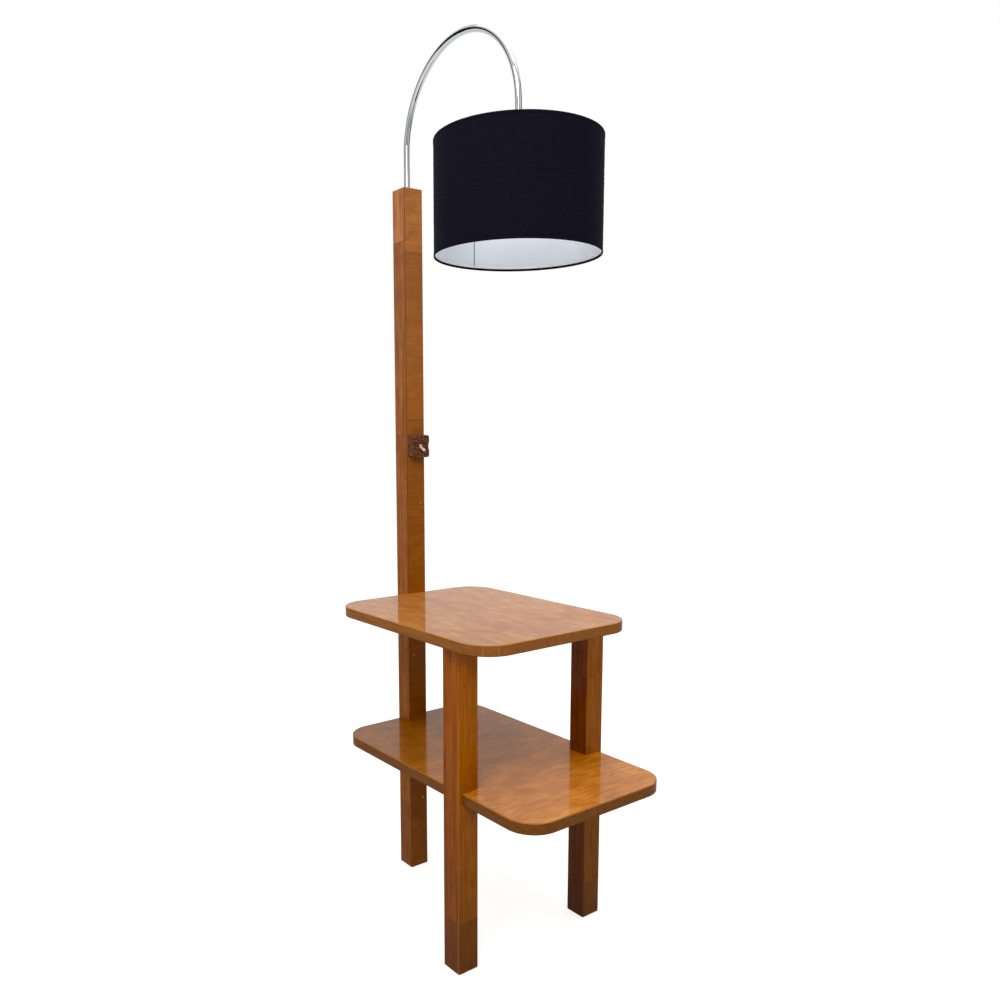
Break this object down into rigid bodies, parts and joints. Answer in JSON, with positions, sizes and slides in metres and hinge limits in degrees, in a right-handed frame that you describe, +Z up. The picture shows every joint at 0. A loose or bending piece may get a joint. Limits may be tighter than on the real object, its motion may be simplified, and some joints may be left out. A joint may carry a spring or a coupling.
{
  "type": "floor lamp with table",
  "caption": "Floor lamp with a chromed tube arching from a square wooden post over a two-level side table, with a dark drum shade and a toggle switch.",
  "frame": {"origin": "middle of the tall post's foot, on the floor", "axes": "+Z up; +X from the tall post along the table, under the arch, towards the two legs; +Y towards the right leg"},
  "size_m": [0.563, 0.364, 1.614],
  "materials": {
    "post_veneer": "polished walnut veneer",
    "board_veneer": "French-polished figured veneer",
    "edge_veneer": "polished veneer edge band",
    "dowel_beech": "plain beech",
    "pin_steel": "dull steel",
    "tube_chrome": "bright chrome plate",
    "plated_steel": "nickel plate",
    "lead_sheath": "moulded sheath",
    "wire_insulation": "moulded insulation",
    "bush_plastic": "moulded",
    "holder_bakelite": "moulded phenolic",
    "porcelain": "glazed",
    "contact_brass": "bare",
    "bulb_glass": "frosted inside",
    "bulb_cap": "bare",
    "shade_fabric": "woven, dark",
    "shade_lining": "white laminate",
    "shade_trim": "folded tape",
    "shade_wire": "white enamel",
    "switch_bakelite": "moulded phenolic, mottled brown",
    "toggle_plastic": "moulded, pale"
  },
  "bodies": {
    "stand": {"tall_post": "post_veneer", "channel_cover_strip": "post_veneer", "front_leg": "post_veneer", "right_leg": "post_veneer", "table_top": "board_veneer", "lower_shelf": "board_veneer", "table_top_edge_band": "edge_veneer", "lower_shelf_edge_band": "edge_veneer", "table_top_dowels": "dowel_beech", "leg_head_dowels": "dowel_beech", "shelf_dowels": "dowel_beech", "channel_cover_pins": "pin_steel", "tube_socket": "plated_steel", "switch_cover_screws": "plated_steel", "switch_fixing_screws": "plated_steel", "switch_toggle_pin": "plated_steel", "post_lead": "lead_sheath", "switch_wires": "wire_insulation", "cord_bush": "bush_plastic", "switch_terminals": "contact_brass", "switch_terminal_screws": "contact_brass", "switch_base": "switch_bakelite", "switch_cover": "switch_bakelite"},
    "arm": {"arch_tube": "tube_chrome", "holder_nipple": "plated_steel", "arm_lead": "lead_sheath", "holder_cap": "holder_bakelite", "holder_body": "holder_bakelite", "holder_insert": "porcelain", "holder_screw_shell": "contact_brass", "holder_centre_contact": "contact_brass", "shade_ring": "holder_bakelite", "bulb_glass": "bulb_glass", "bulb_cap": "bulb_cap", "shade_fabric": "shade_fabric", "shade_lining": "shade_lining", "shade_trim_upper": "shade_trim", "shade_trim_lower": "shade_trim", "shade_carrier": "shade_wire", "shade_bottom_ring": "shade_wire"},
    "toggle": {"switch_toggle": "toggle_plastic", "switch_toggle_contact": "contact_brass"}
  },
  "joints": [
    {"name": "arm_swivel", "type": "hinge", "parent": "stand", "child": "arm", "pos_m": [0, 0, 1.38], "axis": [0, 0, 1], "range_deg": [-90, 90]},
    {"name": "toggle_flip", "type": "hinge", "parent": "stand", "child": "toggle", "pos_m": [0.033, 0, 0.889], "axis": [0, 1, 0], "range_deg": [-50, 0]}
  ]
}
